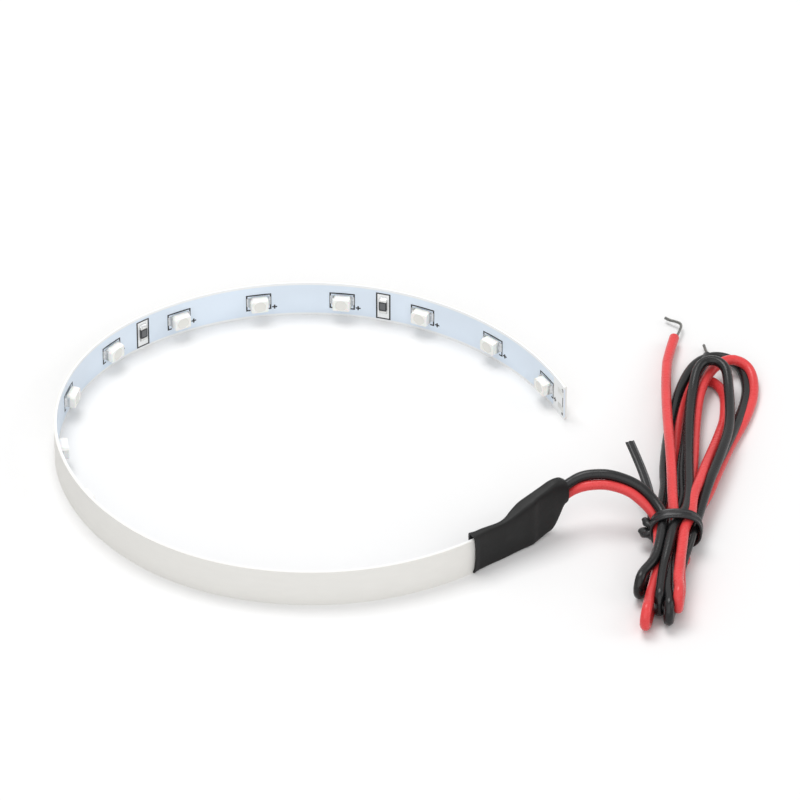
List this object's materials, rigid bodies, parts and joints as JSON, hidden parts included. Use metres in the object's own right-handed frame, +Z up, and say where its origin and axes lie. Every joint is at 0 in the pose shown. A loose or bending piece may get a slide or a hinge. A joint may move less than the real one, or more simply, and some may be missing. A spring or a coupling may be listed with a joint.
{
  "type": "flexible led strip light",
  "caption": "Flexible self-adhesive LED strip bent into an open loop on its edge, with a shrink sleeve and a tied hank of red and black wires with stripped ends.",
  "frame": {"origin": "middle of the strip's loop, on the surface that it stands on", "axes": "+Z up across the strip's width, +X towards the wired end and the hank, +Y away from the sleeve"},
  "size_m": [0.1376, 0.0993, 0.0128],
  "materials": {
    "solder_mask": "satin white solder mask with black print",
    "tape": "matt acrylic tape",
    "liner": "matt coated paper",
    "led_body": "moulded white plastic",
    "led_resin": "clear cast resin",
    "led_chip": "polished die",
    "tinned_metal": "bright tin",
    "solder": "bright reflowed solder",
    "resistor_body": "glazed black",
    "shrink_tube": "satin black",
    "black_insulation": "soft satin black",
    "red_insulation": "soft satin red",
    "tie_plastic": "ribbed satin black"
  },
  "bodies": {
    "root": {"adhesive_tape": "tape", "black_bare_end": "tinned_metal", "black_wire_lead": "black_insulation", "end_pads": "solder", "flex_circuit": "solder_mask", "joint_conductors": "tinned_metal", "joint_solder": "solder", "led_chips": "led_chip", "led_housing_01": "led_body", "led_housing_02": "led_body", "led_housing_03": "led_body", "led_housing_04": "led_body", "led_housing_05": "led_body", "led_housing_06": "led_body", "led_housing_07": "led_body", "led_housing_08": "led_body", "led_housing_09": "led_body", "led_housing_10": "led_body", "led_housing_11": "led_body", "led_housing_12": "led_body", "led_housing_13": "led_body", "led_housing_14": "led_body", "led_housing_15": "led_body", "led_resin_01": "led_resin", "led_resin_02": "led_resin", "led_resin_03": "led_resin", "led_resin_04": "led_resin", "led_resin_05": "led_resin", "led_resin_06": "led_resin", "led_resin_07": "led_resin", "led_resin_08": "led_resin", "led_resin_09": "led_resin", "led_resin_10": "led_resin", "led_resin_11": "led_resin", "led_resin_12": "led_resin", "led_resin_13": "led_resin", "led_resin_14": "led_resin", "led_resin_15": "led_resin", "led_terminals": "tinned_metal", "red_bare_end": "tinned_metal", "red_wire_lead": "red_insulation", "red_wire_tail": "red_insulation", "release_liner": "liner", "resistor_01": "resistor_body", "resistor_02": "resistor_body", "resistor_03": "resistor_body", "resistor_04": "resistor_body", "resistor_05": "resistor_body", "resistor_caps": "tinned_metal", "shrink_sleeve": "shrink_tube", "solder_fillets": "solder", "wire_hank": "black_insulation", "wire_tie": "tie_plastic"}
  },
  "joints": []
}
